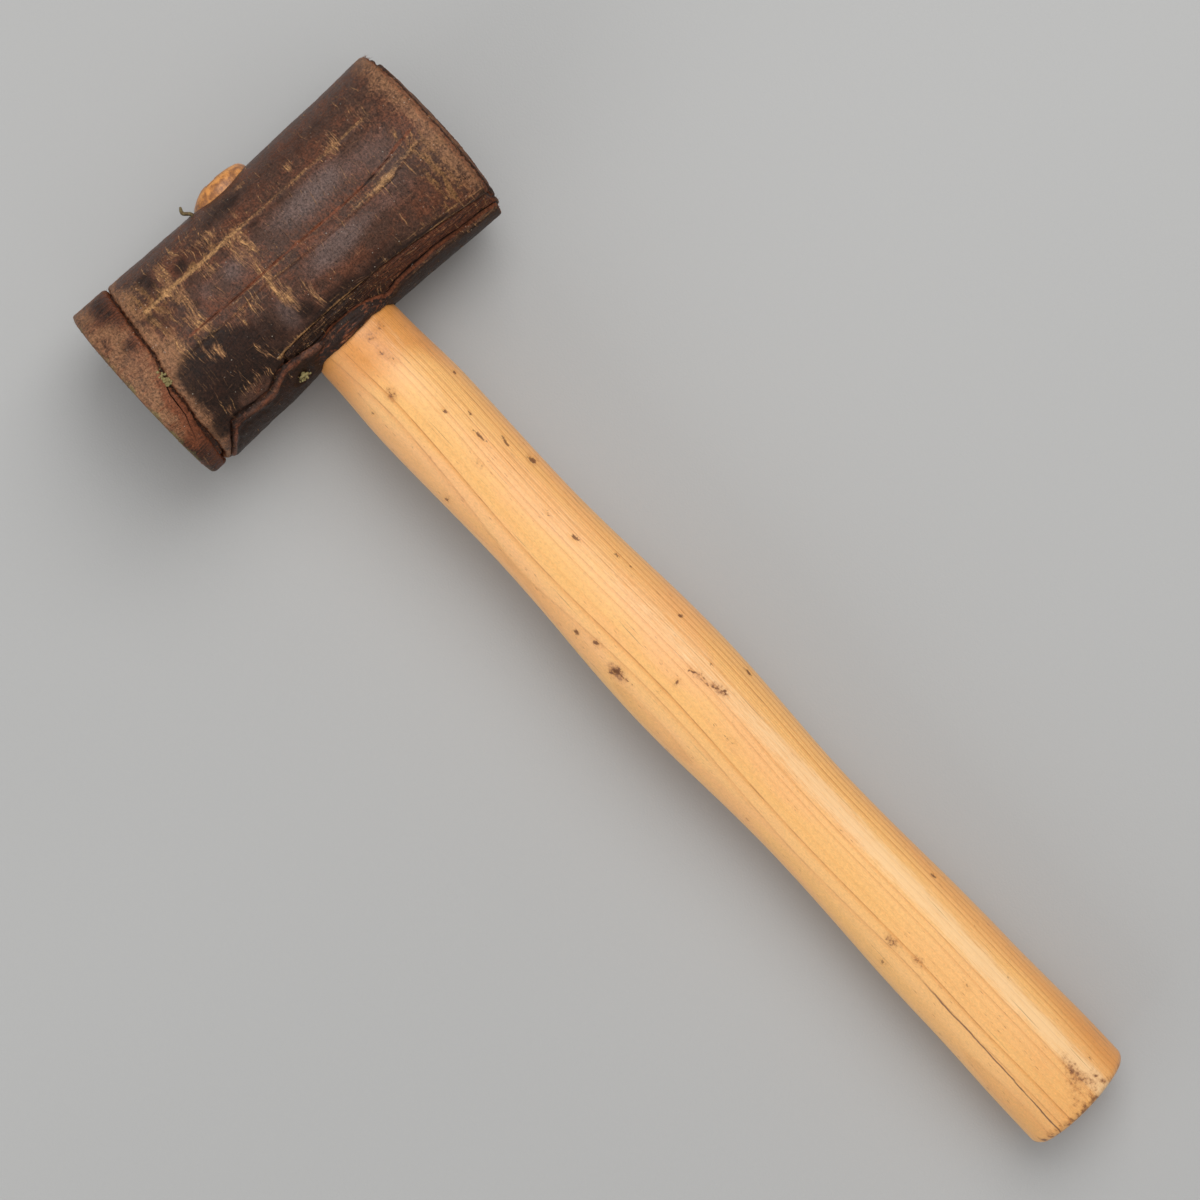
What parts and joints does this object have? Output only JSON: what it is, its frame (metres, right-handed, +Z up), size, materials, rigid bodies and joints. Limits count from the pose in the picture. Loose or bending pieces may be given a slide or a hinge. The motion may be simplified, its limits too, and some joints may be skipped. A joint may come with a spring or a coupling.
{
  "type": "rawhide mallet",
  "caption": "Rolled rawhide mallet: a wound hide head in a worn, torn outer sheet, on a tapered oval wooden handle wedged through it.",
  "frame": {"origin": "on the bench, under the middle of the mallet's bounding box, as it lies on its side on its head's rims and its butt", "axes": "+X along the handle towards the butt, +Y along the head towards its crowned face, +Z up"},
  "size_m": [0.3183, 0.0999, 0.0521],
  "materials": {
    "handle_wood": "old varnish, satin",
    "wedge_wood": "bare end grain",
    "wound_hide": "hard, dry rawhide",
    "sheet_hide": "hard, scuffed rawhide",
    "band_hide": "hard, worn rawhide",
    "nail_brass": "corroded"
  },
  "bodies": {
    "root": {"handle": "handle_wood", "handle_wedge": "wedge_wood", "hide_roll": "wound_hide", "outer_sheet": "sheet_hide", "torn_band": "band_hide", "seam_nail": "nail_brass", "band_nail": "nail_brass"}
  },
  "joints": []
}
